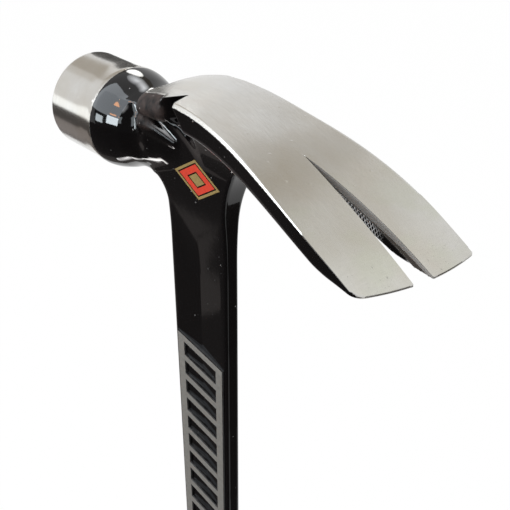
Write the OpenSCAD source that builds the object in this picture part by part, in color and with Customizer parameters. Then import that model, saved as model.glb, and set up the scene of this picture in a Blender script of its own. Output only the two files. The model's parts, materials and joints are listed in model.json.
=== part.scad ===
// One-piece framing hammer: a drop-forged steel head, neck, shank and tang in one,
// a two-shot moulded grip over the tang and a printed decal on the cheek.
// +Z runs up the handle to the head, +X points to the claw tips, -X to the striking
// face, and the origin is the middle of the grip's flat butt face.

/* [Overall] */
// Length from the butt to the top of the head
overall_length = 406; // [390:1:430]
// Height of the crown of the head above the axis of the poll
head_rise = 18.9; // [17.5:0.1:21]

/* [Poll and neck] */
// Diameter of the striking poll
poll_dia = 31; // [28:0.5:35]
// Distance from the handle's centre line to the striking face
face_reach = 59; // [54:0.5:66]
// Length of the ground band behind the striking face
poll_band = 23.5; // [18:0.5:26]
// Rounding of the rim of the striking face
rim_round = 1.1; // [0.6:0.1:2]
// Growth of the poll's radius from the ground band to the shoulder
poll_flare = 0.6; // [0:0.1:1.2]
// Length of the full shoulder behind the ground band
shoulder_gap = 2.6; // [1:0.1:4]
// Length of the shoulder that runs from the poll down to the neck
shoulder_length = 13.5; // [10:0.5:16]
// Diameter of the round neck
neck_dia = 21.8; // [19:0.2:25]

/* [Claw] */
// Distance from the handle's centre line to the claw tips
claw_reach = 90.1; // [84:0.1:98]
// Fall of the top of the claw from the crown to the tips
claw_drop = 25.6; // [20:0.1:32]
// Width of the claw across its tips
tip_width = 41; // [36:0.2:46]
// Width of the head over the handle
crown_width = 27.4; // [25:0.2:30]
// Width of the head where its rounded rear end begins
rear_width = 26; // [23:0.2:28]
// Distance from the handle's centre line to the rounded rear end of the plate
rear_reach = 19.6; // [18:0.2:22]
// Thickness of the claw at its root
root_thick = 8; // [7:0.1:9]
// Thickness of the plate at its rounded rear end
rear_thick = 5.6; // [4:0.1:6.5]
// Thickness of the claw where its tips begin to thin
blade_thick = 6.2; // [5:0.1:7]
// Thickness of the claw tips
tip_thick = 0.7; // [0.3:0.1:1.2]
// Length over which the tips thin to their edges
chisel_length = 13.5; // [10:0.5:25]
// Bevel along the upper edges of the claw
edge_bevel = 0.9; // [0.4:0.1:1.5]
// Bevel along the lower edges of the claw
under_bevel = 1.6; // [0.6:0.1:2.2]
// Bevel along the upper edges of the rounded rear end
rear_bevel = 2.4; // [1:0.1:3]
// How far the outer corners of the tips stand back from the inner ones
tip_set_back = 2.6; // [0:0.1:4]
// Length of the nail slot
slot_length = 44.4; // [38:0.2:50]
// Width of the nail slot at the tips
slot_width = 6.8; // [5:0.1:9]

/* [Side notch] */
// Place of the notch's point along the head, from the handle's centre line
notch_place = 3; // [0:0.1:6]
// Width of the notch at the edge of the head
notch_width = 6.7; // [5:0.1:8]
// Depth of the notch in from the edge of the head
notch_depth = 7.4; // [5:0.1:8]

/* [Shank] */
// Width of the shank just below the head
shank_width = 28.6; // [25:0.1:31]
// Width of the shank and tang from the grip down
tang_width = 22.4; // [20:0.1:24]
// Thickness of the shank's two edges
flange_thick = 4.9; // [4.4:0.1:6]
// Thickness of the shank at the bottom of its side flutes
flute_thick = 3.6; // [2.8:0.1:4]
// Thickness of the cheek where it meets the head
cheek_thick = 11; // [9:0.2:13]
// Height from the flutes' upper ends to the axis of the poll
flute_drop = 36; // [32:0.5:40]
// Height from the start of the shank's fillets to the axis of the poll
fillet_drop = 20.5; // [19:0.5:24]
// Fillet from the shank to the neck
poll_fillet = 8; // [6:0.5:9]
// Fillet from the shank to the claw
claw_fillet = 32; // [29:0.5:36]

/* [Raised panel] */
// Distance from the axis of the poll to the top of the raised panel
panel_drop = 64.5; // [58:0.5:70]
// Length of the raised panel
panel_length = 112; // [90:1:114]
// Width of the panel's two borders
border_width = 3.8; // [2.4:0.1:4.4]
// Width of the slanted bars
bar_width = 2.8; // [1.8:0.1:3.4]
// Pitch of the slanted bars along the shank
bar_pitch = 7; // [6:0.2:12]
// Fall of each slanted bar across the panel
bar_slant = 4.8; // [3:0.1:6]
// Height of the bars above the edges of the shank
bar_rise = 0.5; // [0.2:0.05:0.8]

/* [Grip] */
// Length of the grip
grip_length = 196; // [184:1:204]
// Width of the grip in the plane of the head, at the waist
grip_width = 34; // [31:0.5:38]
// Thickness of the grip across the plane of the head, at the waist
grip_thick = 25; // [22:0.5:28]
// Growth of the grip's width and thickness at the palm swell
palm_swell = 3; // [1:0.2:4]
// Growth of the grip's width and thickness at the flared butt
butt_flare = 9; // [6:0.2:11]
// Rounding of the butt's edge
butt_round = 5; // [3:0.2:7]
// Length of the sloping collar at the top of the grip
collar_length = 16; // [12:0.5:22]
// Wall of the grip around the shank at its top edge
collar_wall = 2.4; // [1.6:0.1:3.2]
// Distance from the butt to the lower end of the tang
butt_pad = 14; // [10:0.5:20]
// Height of the hard butt cap below the soft sleeve
cap_height = 18; // [12:0.5:24]
// Thickness of the soft sleeve
sleeve_wall = 3; // [2:0.1:4]
// Pitch of the ring grooves around the sleeve
groove_pitch = 9; // [6:0.5:14]
// Width of each ring groove
groove_width = 3.6; // [2:0.2:5]
// Depth of each ring groove
groove_depth = 0.9; // [0.4:0.1:1.5]
// Distance from the ends of the sleeve to the first and last grooves
groove_margin = 12; // [8:0.5:20]
// Diameter of the pegs of the grip that pass through the tang
peg_dia = 6; // [4:0.2:8]
// Clearance between the tang, the grip's core and its sleeve
grip_fit = 0.1; // [0.05:0.05:0.2]

/* [Decal] */
// Height of the decal
decal_height = 13; // [9:0.2:14]
// Width of the decal
decal_width = 22; // [16:0.2:23]
// Thickness of the printed film
decal_film = 0.12; // [0.08:0.01:0.2]
// Distance from the axis of the poll down to the middle of the decal
decal_drop = 7.5; // [6:0.1:9]
// Distance from the handle's centre line to the middle of the decal, towards the claw
decal_place = 3; // [0:0.5:5]

/* [Hidden] */
$fn = 64;
// How far cuts run past the faces that they open
overrun = 1;
// How far shapes of one piece run into each other
lap = 1;
// Steps along each rounding
round_steps = 6;
axis_z = overall_length - head_rise;

function lerp(a, b, t) = a + (b - a) * t;
function ease(t) = let (c = min(max(t, 0), 1)) c * c * (3 - 2 * c);

// The end of a loft: strips across the ring, from each point to the one opposite
function end_strips(n) = [for (i = [0 : ceil(n / 2) - 2]) each i + 1 < n - 2 - i
    ? [[i, i + 1, n - 2 - i], [i, n - 2 - i, n - 1 - i]]
    : [[i, i + 1, n - 1 - i]]];

// A closed solid through rings that have the same number of points
module loft(rings) {
    n = len(rings[0]);
    m = len(rings);
    sides = [for (j = [0 : m - 2]) for (i = [0 : n - 1]) let (k = (i + 1) % n)
        each [[j * n + i, (j + 1) * n + i, (j + 1) * n + k],
              [j * n + i, (j + 1) * n + k, j * n + k]]];
    first = end_strips(n);
    last = [for (f = first) let (e = (m - 1) * n) [e + f[2], e + f[1], e + f[0]]];
    polyhedron([for (r = rings) each r], concat(first, sides, last));
}

// A closed tube through rings that go round and come back to the first
module ring_loft(rings) {
    n = len(rings[0]);
    m = len(rings);
    sides = [for (j = [0 : m - 1]) for (i = [0 : n - 1])
        let (k = (i + 1) % n, b = ((j + 1) % m) * n)
        each [[j * n + i, b + i, b + k], [j * n + i, b + k, j * n + k]]];
    polyhedron([for (r = rings) each r], sides);
}

// Poll and neck: one solid of revolution along the X axis of the head
poll_r = poll_dia / 2;
neck_r = neck_dia / 2;
band_end = -face_reach + poll_band;
shoulder_start = band_end + shoulder_gap;
neck_start = shoulder_start + shoulder_length;
shoulder_power = 1.5;
// How far the neck runs into the head past the rear end of the plate
neck_sink = 16;
neck_end = neck_sink - rear_reach;
neck_profile = concat(
    [[0, -face_reach]],
    [for (i = [0 : round_steps]) let (a = 90 * i / round_steps)
        [poll_r - rim_round * (1 - sin(a)), -face_reach + rim_round * (1 - cos(a))]],
    [[poll_r, band_end - shoulder_gap]],
    [for (i = [0 : round_steps]) let (u = i / round_steps)
        [lerp(neck_r, poll_r + poll_flare, (1 - u) ^ shoulder_power),
         lerp(shoulder_start, neck_start, u)]],
    [for (i = [1 : round_steps]) let (u = i / round_steps)
        [neck_r * (1 - ease(u)), lerp(neck_start, neck_end, u)]]);

module poll_and_neck() {
    translate([0, 0, axis_z]) rotate([0, 90, 0]) rotate_extrude() polygon(neck_profile);
}

// Plate of the head and claw, lofted along X
crown_place_share = 0.0625;
crown_x = claw_reach * crown_place_share;
// Radius of the top behind the crown
rear_curve = 71;
// Length of the plate's rounded rear end
rear_corner = 7.5;
rear_round_share = 0.96;
claw_fall_power = 1.84;
flare_share = 0.84;
blade_share = 1 - chisel_length / (claw_reach - crown_x);
// Place where the upper bevel starts to grow towards the rear, and the run of that growth
bevel_place = 1;
bevel_run = 4;
function claw_share(x) = (x - crown_x) / (claw_reach - crown_x);
function top_z(x) = axis_z + head_rise - (x < crown_x
    ? (crown_x - x) ^ 2 / rear_curve / 2
    : claw_drop * claw_share(x) ^ claw_fall_power);
function half_width(x) = x < crown_x
    ? lerp(crown_width, rear_width, (crown_x - x) / (crown_x + rear_reach - rear_corner)) / 2
    : lerp(crown_width, tip_width, ease(claw_share(x) / flare_share)) / 2;
function plate_thick(x) = let (u = claw_share(x))
    u < 0 ? lerp(rear_thick, root_thick, ease((x + rear_reach) / rear_corner))
    : u < blade_share ? lerp(root_thick, blade_thick, u / blade_share)
    : lerp(blade_thick, tip_thick, min((u - blade_share) / (1 - blade_share), 1));
function rear_x(v) = -rear_reach + rear_corner * (1 - sqrt(1 - v * v * rear_round_share));
function tip_x(v) = claw_reach - tip_set_back * v * v;
function bevel_size(x, up) = up == 0 ? under_bevel
    : lerp(edge_bevel, rear_bevel, ease((bevel_place - x) / bevel_run));
// One point of a section: v runs across the plate, up is 1 on the top and 0 underneath, and
// inset and drop are 1 at the ends of the bevels
function plate_point(u, v, inset, drop, up) =
    let (x = lerp(rear_x(v), tip_x(v), u),
         t = plate_thick(x + claw_reach - tip_x(v)),
         cut = min(bevel_size(x, up), t / 3))
    [x, v * half_width(x) - sign(v) * inset * cut,
     top_z(x) - (up == 1 ? drop * cut : t - drop * cut)];
// Points across the top or the underside, from the side s to the other
across_shares = [-0.75, -0.5, -0.25, 0, 0.25, 0.5, 0.75];
function plate_side(u, s, up) = concat(
    [plate_point(u, s, 0, 1, up), plate_point(u, s, 1, 0, up)],
    [for (v = across_shares) plate_point(u, -s * v, 0, 0, up)],
    [plate_point(u, -s, 1, 0, up), plate_point(u, -s, 0, 1, up)]);
function plate_ring(u) = concat(plate_side(u, -1, 0), plate_side(u, 1, 1));
plate_steps = 32;

// Nail slot: a long V with slightly bulging sides, open at the tips
slot_bulge_share = 0.54;
slot_steps = 7;
module nail_slot() {
    start = claw_reach - slot_length;
    edge = [for (i = [0 : slot_steps + 1]) let (u = i / slot_steps) [start + slot_length * u,
        slot_width / 2 * ((1 + slot_bulge_share) * u - slot_bulge_share * u * u)]];
    translate([0, 0, axis_z - claw_drop])
        linear_extrude(claw_drop + head_rise)
            polygon(concat(edge, [for (i = [slot_steps + 1 : -1 : 1]) [edge[i].x, -edge[i].y]]));
}

// V notch in the near edge, wider towards the claw below
notch_back_share = 0.55;
notch_lean_share = 0.75;
module side_notch() {
    point_y = notch_depth - crown_width / 2;
    reach = notch_depth + overrun;
    spread = notch_width * reach / notch_depth;
    lean = notch_width * notch_lean_share;
    function wedge(lean, z) = [[notch_place, point_y, z],
        [notch_place - spread * notch_back_share, point_y - reach, z],
        [notch_place + spread * (1 - notch_back_share) + lean, point_y - reach, z]];
    loft([wedge(lean, axis_z + head_rise - root_thick - overrun),
          wedge(0, axis_z + head_rise + overrun)]);
}

module head_plate() {
    difference() {
        loft([for (i = [0 : plate_steps]) plate_ring(i / plate_steps)]);
        nail_slot();
        side_notch();
    }
}

// Shank, cheek and their fillets, lofted along Z from the top of the grip
shank_top = axis_z - fillet_drop;
cheek_start_share = 0.72;
cheek_start = axis_z - flute_drop * cheek_start_share;
cheek_top = axis_z + head_rise - root_thick + lap;
function shank_half(z) = lerp(tang_width, shank_width,
    min((z - grip_length) / (shank_top - grip_length), 1)) / 2;
function fillet(r, rise) = rise <= 0 ? 0 : r - sqrt(max(r * r - rise * rise, 0));
function left_x(z) = -shank_half(z)
    - fillet(poll_fillet, min(z - shank_top, poll_fillet)) * (1 - ease((z - axis_z) / neck_r));
function right_x(z) = shank_half(z) + fillet(claw_fillet, z - shank_top);
// Half thickness: the fluted shank or the sloping cheek, whichever is thicker
cheek_slope = (cheek_thick - flange_thick) / 2 / (cheek_top - cheek_start);
function cheek_half(z) = flange_thick / 2 + cheek_slope * (z - cheek_start);
flute_edge_share = 0.82;
function flute_half(v) = lerp(flute_thick, flange_thick, min(abs(v) / flute_edge_share, 1)) / 2;
shank_shares = [-1, -flute_edge_share, -flute_edge_share / 2, 0,
                flute_edge_share / 2, flute_edge_share, 1];
// Rounding of the shank's edges
edge_round = 0.7;
function edge_cut(v) = abs(v) == 1 ? edge_round : 0;
function shank_x(v, z) = v < 0 ? -v * left_x(z) : v * right_x(z);
function shank_side(z, s) = [for (w = shank_shares) let (v = s * w)
    [shank_x(v, z), -s * (max(flute_half(v), cheek_half(z)) - edge_cut(v)), z]];
function shank_ring(z) = concat(shank_side(z, 1), shank_side(z, -1));
// How far the tang stands in from the faces of the shank, which seats on the grip
tang_inset = 0.3;
function tang_side(fit, s) = [for (w = shank_shares) let (v = s * w, grow = fit - tang_inset)
    [v * (tang_width / 2 + grow), -s * (flute_half(v) - edge_cut(v) + grow)]];
function tang_outline(fit) = concat(tang_side(fit, 1), tang_side(fit, -1));
shank_steps = 6;
fillet_steps = 20;
shank_levels = concat(
    [for (i = [0 : shank_steps - 1]) lerp(grip_length, axis_z - flute_drop, i / shank_steps)],
    [for (i = [0 : fillet_steps]) lerp(axis_z - flute_drop, cheek_top, i / fillet_steps)]);

module shank_and_cheek() {
    loft([for (z = shank_levels) shank_ring(z)]);
}

// Tang inside the grip, with holes for the grip's pegs
peg_place_shares = [0.3, 0.7];
function peg_z(s) = lerp(butt_pad, grip_length, s);
module tang() {
    difference() {
        translate([0, 0, butt_pad])
            linear_extrude(grip_length - butt_pad + lap) polygon(tang_outline(0));
        for (s = peg_place_shares)
            translate([0, 0, peg_z(s)]) rotate([90, 0, 0])
                cylinder(d = peg_dia, h = flange_thick + 2 * overrun, center = true);
    }
}

// Raised frame with slanted bars in the flutes of both sides
panel_half_share = 0.88;
module raised_panel() {
    top = axis_z - panel_drop;
    bottom = top - panel_length;
    bars = floor((panel_length - bar_slant - bar_width) / bar_pitch);
    function edge_x(s, z) = s * shank_half(z) * panel_half_share;
    function bar_z(i, s) = top - i * bar_pitch - bar_slant * (s + 1) / 2;
    module border(s) {
        start = bar_z(0, s);
        polygon([[edge_x(s, start), start], [edge_x(s, start) - s * border_width, start],
                 [edge_x(s, bottom) - s * border_width, bottom], [edge_x(s, bottom), bottom]]);
    }
    module bar(i) {
        left = bar_z(i, -1);
        right = bar_z(i, 1);
        polygon([[edge_x(-1, left), left], [edge_x(1, right), right],
                 [edge_x(1, right - bar_width), right - bar_width],
                 [edge_x(-1, left - bar_width), left - bar_width]]);
    }
    depth = (flange_thick - flute_thick) / 2 + bar_rise + lap / 2;
    for (turn = [0, 180])
        rotate([0, 0, turn]) translate([0, depth - flange_thick / 2 - bar_rise, 0])
            rotate([90, 0, 0]) linear_extrude(depth) {
                border(-1);
                border(1);
                for (i = [0 : bars]) bar(i);
            }
}

module hammer_forging() {
    color("#1c1b1b") {
        poll_and_neck();
        head_plate();
        shank_and_cheek();
        tang();
        raised_panel();
    }
}

// Grip: oval rings along Z with a palm swell, a waist, a flared butt and a collar
swell_place_share = 0.52;
butt_length_share = 0.2;
grip_points = 36;
grip_power = 2.5;
// Depth of the flat part of the butt
butt_face = 0.4;
function grip_growth(z) = let (s = z / grip_length)
    palm_swell * (1 - ease(abs(s - swell_place_share) / butt_length_share / 2))
    + butt_flare * (1 - ease(s / butt_length_share));
function collar_share(z) = ease((z - grip_length + collar_length) / collar_length);
function butt_inset(z) = z >= butt_round ? 0
    : butt_round - sqrt(butt_round ^ 2 - (butt_round - z) ^ 2);
function grip_half(z, size, top) =
    lerp((size + grip_growth(z)) / 2, top / 2 + collar_wall, collar_share(z)) - butt_inset(z);
function oval(a, b, z) = [for (i = [0 : grip_points - 1])
    let (t = 360 * i / grip_points, c = cos(t), s = sin(t))
    [a * sign(c) * abs(c) ^ (2 / grip_power), b * sign(s) * abs(s) ^ (2 / grip_power), z]];
function grip_ring(z, inset) = oval(grip_half(z, grip_width, tang_width) - inset,
                                    grip_half(z, grip_thick, flange_thick) - inset, z);
butt_steps = 4;
sleeve_steps = 14;
collar_steps = 6;
sleeve_top = grip_length - collar_length;
butt_levels = [for (i = [0 : butt_steps])
    butt_face + (butt_round - butt_face) * (1 - cos(90 * i / butt_steps))];
function sleeve_levels(fit) = [for (i = [0 : sleeve_steps])
    lerp(cap_height + fit, sleeve_top - fit, i / sleeve_steps)];
collar_levels = [for (i = [0 : collar_steps]) lerp(sleeve_top, grip_length, i / collar_steps)];

// Hard core: butt cap, collar and the waist under the sleeve, with pegs through the tang
module grip_core() {
    color("#1d1e20") {
        difference() {
            union() {
                loft(concat([for (z = butt_levels) grip_ring(z, 0)],
                            [grip_ring(cap_height, 0)],
                            [for (z = sleeve_levels(0)) grip_ring(z, sleeve_wall)],
                            [for (z = collar_levels) grip_ring(z, 0)]));
                linear_extrude(butt_face + lap)
                    polygon([for (p = grip_ring(butt_face, 0)) [p.x, p.y]]);
            }
            translate([0, 0, butt_pad])
                linear_extrude(grip_length - butt_pad + overrun) polygon(tang_outline(grip_fit));
        }
        for (s = peg_place_shares)
            translate([0, 0, peg_z(s)]) rotate([90, 0, 0])
                cylinder(d = peg_dia - 2 * grip_fit, h = grip_thick / 2, center = true);
    }
}

// Soft sleeve in the waist of the core, flush with its cap and collar, with ring grooves
groove_shares = [[-1, 0], [-0.5, 1], [0.5, 1], [1, 0]];
module grip_sleeve() {
    levels = sleeve_levels(grip_fit);
    run = sleeve_top - cap_height - 2 * groove_margin;
    grooves = floor(run / groove_pitch);
    first = (cap_height + sleeve_top - grooves * groove_pitch) / 2;
    color("#2a2b2e")
        ring_loft(concat(
            [grip_ring(levels[0], 0)],
            [for (i = [0 : grooves]) for (g = groove_shares)
                grip_ring(first + i * groove_pitch + g[0] * groove_width / 2, g[1] * groove_depth)],
            [grip_ring(levels[sleeve_steps], 0)],
            [for (i = [sleeve_steps : -1 : 0]) grip_ring(levels[i], sleeve_wall - grip_fit)]));
}

// Decal: a lozenge of printed film on the near cheek
module cheek_decal() {
    z = axis_z - decal_drop;
    color("#b08d3f")
        translate([decal_place, -cheek_half(z), z]) rotate([90 + atan(cheek_slope), 0, 0])
            linear_extrude(decal_film)
                polygon([[-decal_width / 2, 0], [0, -decal_height / 2],
                         [decal_width / 2, 0], [0, decal_height / 2]]);
}

hammer_forging();
grip_core();
grip_sleeve();
cheek_decal();
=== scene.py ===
import json
import math

import bmesh
import bpy
import numpy as np
from mathutils import Matrix, Vector


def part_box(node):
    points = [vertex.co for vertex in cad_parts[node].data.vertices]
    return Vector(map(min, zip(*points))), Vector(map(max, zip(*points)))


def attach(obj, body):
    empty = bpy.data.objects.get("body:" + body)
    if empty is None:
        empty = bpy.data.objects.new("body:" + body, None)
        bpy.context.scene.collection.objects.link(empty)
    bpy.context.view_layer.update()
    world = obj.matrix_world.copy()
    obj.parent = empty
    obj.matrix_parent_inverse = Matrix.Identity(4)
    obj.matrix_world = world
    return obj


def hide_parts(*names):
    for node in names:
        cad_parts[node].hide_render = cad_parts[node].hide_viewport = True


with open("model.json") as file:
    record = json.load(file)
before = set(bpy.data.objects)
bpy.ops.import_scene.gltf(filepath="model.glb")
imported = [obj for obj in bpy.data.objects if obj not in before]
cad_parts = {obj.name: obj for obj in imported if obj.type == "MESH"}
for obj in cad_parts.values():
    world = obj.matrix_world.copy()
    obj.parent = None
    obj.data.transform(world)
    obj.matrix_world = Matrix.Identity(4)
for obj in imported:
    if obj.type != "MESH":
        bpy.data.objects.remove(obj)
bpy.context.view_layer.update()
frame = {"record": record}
scene = bpy.context.scene
scene.view_settings.view_transform = "Standard"
mm = 0.001
mounts = {m["name"]: m for m in frame["record"]["mounts"]}
pollAxis = mounts["striking_face"]["pos_m"][2] / mm        # height of the poll's axis above the butt
forgeLow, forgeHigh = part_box("hammer_forging")
sleeveLow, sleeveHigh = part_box("grip_sleeve")
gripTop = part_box("grip_core")[1].z / mm
print("frame loaded, poll axis at", round(pollAxis, 1), "mm")


# small maths that the shapes share
def ease(t):
    t = np.clip(t, 0.0, 1.0)
    return t * t * (3.0 - 2.0 * t)


def roundMax(a, b, r):                                     # edge of two faces, rounded with radius r
    return np.hypot(np.maximum(a + r, 0.0), np.maximum(b + r, 0.0)) + np.minimum(np.maximum(a, b), -r)


def softMin(a, b, k):                                      # two forms that run together with a fillet
    s = np.maximum(k - np.abs(a - b), 0.0) / k
    return np.minimum(a, b) - s * s * k * 0.25


def gridLines(*stops):                                     # (start, step) pairs, then the end
    lines = []
    for (a, step), b in zip(stops[:-1], [s[0] for s in stops[1:-1]] + [stops[-1]]):
        n = max(1, int(round((b - a) / step)))
        lines.extend(a + (b - a) * np.arange(n) / n)
    return np.array(lines + [stops[-1]])


# forging: sizes in mm, x from the handle's centre line, h up from the poll's axis
head = {
    "faceX": forgeLow.x / mm, "tipX": 90.1, "rise": forgeHigh.z / mm - pollAxis,
    "pollRadius": 15.5, "pollFlare": 0.6, "bandLength": 23.5, "rimRound": 1.1, "paintLip": 2.4,
    "neckRadius": 10.9, "shoulderGap": 2.6, "shoulderLength": 13.5, "shoulderPower": 1.4,
    "shoulderLean": 1.12, "neckTaper": 0.45, "neckTaperStart": -23.0, "neckEnd": -7.0, "neckEndRound": 5.0,
    "crownX": 5.65, "rearCurve": 71.0, "clawDrop": 25.6, "clawPower": 1.84,
    "tipCamber": 0.7, "camberRest": 0.3, "tipTwist": 0.035,
    "farLift": 0.65, "farStart": -4.0, "farRun": 16.0, "farEnd": 34.0, "farFade": 20.0,
    "crownHalf": 13.7, "rearHalf": 13.0, "tipHalf": 20.5, "flareShare": 0.84,
    "rearX": -19.6, "rearCorner": 7.5, "rearRound": 4.6, "rearRoundStart": 1.0, "rearRoundRun": 4.0,
    "farRoundRun": 12.0, "farSharp": 0.5, "farSide": 6.0,
    "rootThick": 8.0, "rearThick": 5.6, "bladeThick": 6.2, "tipThick": 0.7, "chiselLength": 13.5,
    "tipSetBack": 2.6, "tipCorner": (2.8, 0.7), "bevel": 0.9, "tipBevel": 0.0, "bevelShare": 1.0,
    "edgeRound": 0.05, "bevelRound": 0.12, "underRound": 2.0, "lugRound": 2.9, "lugLength": 8.0,
    "slotStart": 45.7, "slotHalf": 3.4, "slotBulge": 0.54, "slotBand": 2.7, "slotStep": 0.5,
    "slotStepRun": 0.8,
    "notchX": 2.95, "notchY": -6.0, "notchBack": (-3.75, -7.0), "notchFront": (2.85, -7.4),
    "notchLean": 0.8, "notchRound": 0.1, "knobRound": 2.7, "knobTop": 0.6, "knobRun": 1.8, "knobGap": 2.0,
    "neckBlend": 5.0, "ribBlend": 1.6, "plateBlend": 3.5,
    "waistX": -20.5, "waistRun": 5.0, "waistDepth": 1.5,
    "ribFrom": (-17.0, -6.6, 5.6), "ribTo": (-6.0, -5.1, 1.5), "ribRound": (3.4, 1.0),
}
shank = {
    "topHalf": 14.3, "gripHalf": 11.2, "flange": 2.45, "flute": 1.8, "fluteEdge": 0.82,
    "pollFillet": 8.0, "pollFilletStart": -20.6, "clawFillet": 32.0, "clawFilletStart": -20.5,
    "cheekStart": -25.9, "cheekSlope": 0.0807, "cheekTop": 9.5, "cheekCover": 0.8, "creaseRound": 0.5,
    "flareStart": -4.0, "flareShift": 7.0, "flareX": 8.0, "flareRun": 12.0, "flareRound": 22.0,
    "edgeRound": 1.1, "gripTop": gripTop - pollAxis, "tangEnd": forgeLow.z / mm - pollAxis,
}


def clawShare(x):
    return (x - head["crownX"]) / (head["tipX"] - head["crownX"])


def topLine(x):                                            # height of the top along the head
    back = np.minimum(x - head["crownX"], 0.0)
    fall = head["clawDrop"] * np.maximum(clawShare(x), 0.0) ** head["clawPower"]
    return head["rise"] - back * back / (2.0 * head["rearCurve"]) - fall


def topSlope(x):
    back = np.minimum(x - head["crownX"], 0.0)
    power = head["clawPower"]
    fall = head["clawDrop"] * power * np.maximum(clawShare(x), 0.0) ** (power - 1.0)
    return -back / head["rearCurve"] - fall / (head["tipX"] - head["crownX"])


def camber(x, y):                                          # the prongs lean outwards and twist a little
    run = ease((x - head["slotStart"]) / (head["tipX"] - head["slotStart"]))
    lean = head["tipCamber"] * ((y / halfWidth(x)) ** 2 - head["camberRest"])
    lift = head["farLift"] * ease((y - head["farStart"]) / head["farRun"])
    lift = lift * ease((head["farEnd"] - x) / head["farFade"])
    return run * (lean + head["tipTwist"] * y) - lift


def halfWidth(x):
    u = clawShare(x)
    backShare = (head["crownX"] - x) / (head["crownX"] - head["rearX"] - head["rearCorner"])
    rear = head["crownHalf"] + (head["rearHalf"] - head["crownHalf"]) * np.clip(backShare, 0.0, 1.6)
    flare = head["crownHalf"] + (head["tipHalf"] - head["crownHalf"]) * ease(u / head["flareShare"])
    return np.where(u < 0.0, rear, flare)


def plateThick(x):
    length = head["tipX"] - head["crownX"]
    u = clawShare(x) / (1.0 - head["chiselLength"] / length)
    blade = head["rootThick"] + (head["bladeThick"] - head["rootThick"]) * np.clip(u, 0.0, 1.0)
    blade = blade + (head["rearThick"] - head["rootThick"]) * ease(x / head["rearX"])
    chisel = (head["tipX"] - x) / head["chiselLength"]
    edge = head["tipThick"] + (head["bladeThick"] - head["tipThick"]) * chisel
    return np.maximum(softMin(blade, edge, 1.5), 0.5 * head["tipThick"])


def slotEdge(x):
    u = (x - head["slotStart"]) / (head["tipX"] - head["slotStart"])
    v = np.maximum(u, 0.0)
    return head["slotHalf"] * ((1.0 + head["slotBulge"]) * u - head["slotBulge"] * v * v)


def topFace(x, y, h):
    return (h - topLine(x) + camber(x, y)) / np.sqrt(1.0 + topSlope(x) ** 2)


def outlineFace(x, y):                                     # from above: straight sides, round rear end
    w = halfWidth(x)
    q = np.minimum(x - head["rearX"] - head["rearCorner"], 0.0) / head["rearCorner"]
    return (np.sqrt(q * q + (y / w) ** 2) - 1.0) * w


def slotFace(x, y, h):                                     # positive in the nail slot, wider below its band
    step = head["slotStep"] * ease((-topFace(x, y, h) - head["slotBand"]) / head["slotStepRun"])
    return slotEdge(x) + step * ease((x - head["slotStart"]) / 10.0) - np.abs(y)


def notchFace(x, y, h):                                    # positive in the side notch
    def wall(run, side, shift):
        across = (y - head["notchY"]) * run[0] - (x - head["notchX"] - shift) * run[1]
        return side * across / math.hypot(*run)

    lean = head["notchLean"] * np.maximum(head["rise"] - 1.0 - h, 0.0)
    return np.minimum(wall(head["notchBack"], 1.0, 0.0), wall(head["notchFront"], -1.0, lean))


def tipFace(x, y):
    return x - head["tipX"] + head["tipSetBack"] * (y / halfWidth(x)) ** 2


def edgeBevel(x):
    bevel = head["bevel"] + (head["tipBevel"] - head["bevel"]) * ease(clawShare(x) / head["bevelShare"])
    return np.minimum(bevel, 0.45 * plateThick(x))


def rearShare(x, y):                                       # 1 on the round rear end, slower on the far side
    run = head["rearRoundRun"] + head["farRoundRun"] * ease(y / head["farSide"])
    return ease((head["rearRoundStart"] - x) / run)


def plateField(x, y, h):
    thick = plateThick(x + head["tipSetBack"] * (y / halfWidth(x)) ** 2)
    top = topFace(x, y, h)
    under = -top - thick / np.sqrt(1.0 + topSlope(x) ** 2)
    side = outlineFace(x, y)
    rear = rearShare(x, y)
    lugShare = ease((head["crownX"] - x) / head["lugLength"])
    lug = head["underRound"] + (head["lugRound"] - head["underRound"]) * lugShare
    plan = roundMax(side, tipFace(x, y), np.where(y < 0.0, *head["tipCorner"]))
    d = roundMax(under, plan, np.minimum(lug, 0.35 * thick))
    far = 1.0 - head["farSharp"] * ease(y / head["farSide"])
    d = np.maximum(d, roundMax(top, plan, head["edgeRound"] + head["rearRound"] * rear * far))
    bevel = edgeBevel(x) * (1.0 - rear)
    d = roundMax(d, (top + side + bevel) * math.sqrt(0.5) - 2.0 * rear, head["bevelRound"])
    d = np.maximum(d, slotFace(x, y, h))
    knob = ease((-top - head["knobTop"]) / head["knobRun"])
    knob = knob * ease((head["notchX"] - head["knobGap"] - x) / head["knobGap"])
    return roundMax(d, notchFace(x, y, h), head["notchRound"] + head["knobRound"] * knob)


def neckField(x, y, h):
    rho = np.hypot(y, h)
    band = head["faceX"] + head["bandLength"]
    poll = head["pollRadius"] + head["pollFlare"] * ease((x - band) / head["shoulderGap"] / 4.0 + 0.75)
    fall = np.maximum(1.0 - (x - band - head["shoulderGap"]) / head["shoulderLength"], 0.0)
    neck = head["neckRadius"] * (1.0 - head["neckTaper"] * ease(
        (x - head["neckTaperStart"]) / (head["neckEnd"] - head["neckTaperStart"])))
    waist = np.clip(1.0 - ((x - head["waistX"]) / head["waistRun"]) ** 2, 0.0, 1.0) ** 2
    neck = neck - head["waistDepth"] * waist * ease((-y - 2.0) / 5.0) * ease((h + 7.0) / 5.0)
    swell = head["pollRadius"] + head["pollFlare"] - head["neckRadius"]
    shoulder = neck + swell * fall ** head["shoulderPower"]
    d = roundMax(rho - poll, (rho - shoulder) / head["shoulderLean"], head["paintLip"])
    d = roundMax(d, head["faceX"] - x, head["rimRound"])
    return roundMax(d, x - head["neckEnd"], head["neckEndRound"])


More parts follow.
